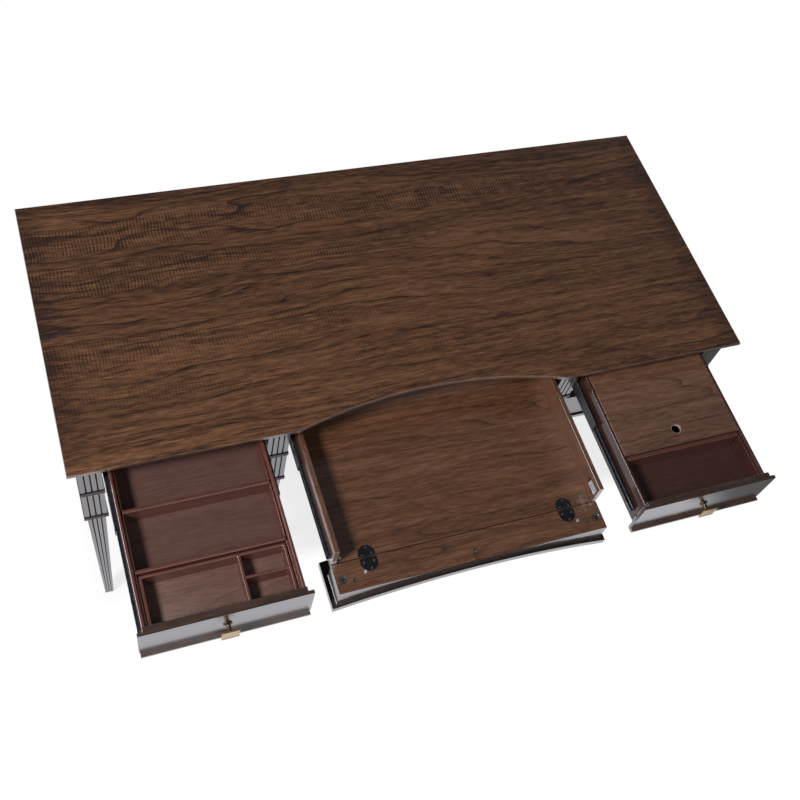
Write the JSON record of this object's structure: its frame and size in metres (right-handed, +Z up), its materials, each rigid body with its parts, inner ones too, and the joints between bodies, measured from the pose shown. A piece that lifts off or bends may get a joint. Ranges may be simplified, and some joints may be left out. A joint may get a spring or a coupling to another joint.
{
  "type": "computer desk",
  "caption": "Kneehole computer desk on fluted, tapered legs, with divided side drawers on telescopic slides and a keyboard drawer whose concave front drops open.",
  "frame": {"origin": "on the floor, under the middle of the desk's box with its drawers pulled out", "axes": "+X to the sitter's right along the top, +Y to the back, +Z up"},
  "size_m": [1.6256, 1.0886, 0.768],
  "materials": {
    "walnut_top": "satin lacquered dark walnut",
    "walnut_case": "satin lacquered dark walnut",
    "drawer_wood": "red-brown stained, satin",
    "compartment_wood": "lighter brown, matt",
    "black_metal": "black, satin",
    "pull_metal": "dark, aged"
  },
  "bodies": {
    "desk": {"desk_top": "walnut_top", "leg_front_outer_left": "walnut_case", "leg_front_inner_left": "walnut_case", "leg_front_inner_right": "walnut_case", "leg_front_outer_right": "walnut_case", "leg_rear_outer_left": "walnut_case", "leg_rear_inner_left": "walnut_case", "leg_rear_inner_right": "walnut_case", "leg_rear_outer_right": "walnut_case", "front_rail": "walnut_case", "back_apron": "walnut_case", "end_apron_left": "walnut_case", "end_apron_right": "walnut_case", "knee_panel_left": "walnut_case", "knee_panel_right": "walnut_case", "right_lower_rail": "walnut_case", "left_drawer_slide_left_case": "black_metal", "left_drawer_slide_right_case": "black_metal", "right_drawer_slide_left_case": "black_metal", "right_drawer_slide_right_case": "black_metal", "centre_drawer_slide_left_case": "black_metal", "centre_drawer_slide_right_case": "black_metal"},
    "left_drawer": {"left_drawer_front": "walnut_case", "left_drawer_side_left": "drawer_wood", "left_drawer_side_right": "drawer_wood", "left_drawer_back": "drawer_wood", "left_drawer_bottom": "compartment_wood", "left_drawer_divider_rear": "drawer_wood", "left_drawer_divider_front": "drawer_wood", "left_drawer_tray": "drawer_wood", "left_drawer_pull": "pull_metal", "left_drawer_slide_left_drawer": "black_metal", "left_drawer_slide_right_drawer": "black_metal"},
    "left_drawer_middle_members": {"left_drawer_slide_left_middle": "black_metal", "left_drawer_slide_right_middle": "black_metal"},
    "right_drawer": {"right_drawer_front": "walnut_case", "right_drawer_side_left": "drawer_wood", "right_drawer_side_right": "drawer_wood", "right_drawer_back": "drawer_wood", "right_drawer_bottom": "compartment_wood", "right_drawer_divider": "drawer_wood", "right_drawer_pull": "pull_metal", "right_drawer_slide_left_drawer": "black_metal", "right_drawer_slide_right_drawer": "black_metal"},
    "right_drawer_middle_members": {"right_drawer_slide_left_middle": "black_metal", "right_drawer_slide_right_middle": "black_metal"},
    "cover": {"right_drawer_cover": "walnut_case"},
    "centre_drawer": {"centre_drawer_side_left": "walnut_case", "centre_drawer_side_right": "walnut_case", "centre_drawer_back": "walnut_case", "centre_drawer_bottom": "walnut_case", "hinge_leaf_fixed_left": "black_metal", "hinge_leaf_fixed_right": "black_metal", "centre_drawer_slide_left_drawer": "black_metal", "centre_drawer_slide_right_drawer": "black_metal"},
    "centre_drawer_middle_members": {"centre_drawer_slide_left_middle": "black_metal", "centre_drawer_slide_right_middle": "black_metal"},
    "flap": {"drop_front": "walnut_case", "hinge_leaf_moving_left": "black_metal", "hinge_leaf_moving_right": "black_metal"}
  },
  "joints": [
    {"name": "left_drawer_slide", "type": "slide", "parent": "desk", "child": "left_drawer", "axis": [0, -1, 0], "range_m": [-0.374, 0]},
    {"name": "left_drawer_middle_slide", "type": "slide", "parent": "desk", "child": "left_drawer_middle_members", "axis": [0, -1, 0], "range_m": [-0.187, 0]},
    {"name": "right_drawer_slide", "type": "slide", "parent": "desk", "child": "right_drawer", "axis": [0, -1, 0], "range_m": [-0.374, 0]},
    {"name": "right_drawer_middle_slide", "type": "slide", "parent": "desk", "child": "right_drawer_middle_members", "axis": [0, -1, 0], "range_m": [-0.187, 0]},
    {"name": "centre_drawer_slide", "type": "slide", "parent": "desk", "child": "centre_drawer", "axis": [0, -1, 0], "range_m": [-0.3724, 0]},
    {"name": "centre_drawer_middle_slide", "type": "slide", "parent": "desk", "child": "centre_drawer_middle_members", "axis": [0, -1, 0], "range_m": [-0.1862, 0]},
    {"name": "flap_hinge", "type": "hinge", "parent": "centre_drawer", "child": "flap", "pos_m": [0, -0.43996, 0.6551], "axis": [-1, 0, 0], "range_deg": [0, 90]},
    {"name": "cover_slide", "type": "slide", "parent": "right_drawer", "child": "cover", "axis": [0, -1, 0], "range_m": [0, 0.124]}
  ],
  "couplings": [
    {"joint": "left_drawer_middle_slide", "follows": "left_drawer_slide", "ratio": 0.5},
    {"joint": "right_drawer_middle_slide", "follows": "right_drawer_slide", "ratio": 0.5},
    {"joint": "centre_drawer_middle_slide", "follows": "centre_drawer_slide", "ratio": 0.5}
  ]
}
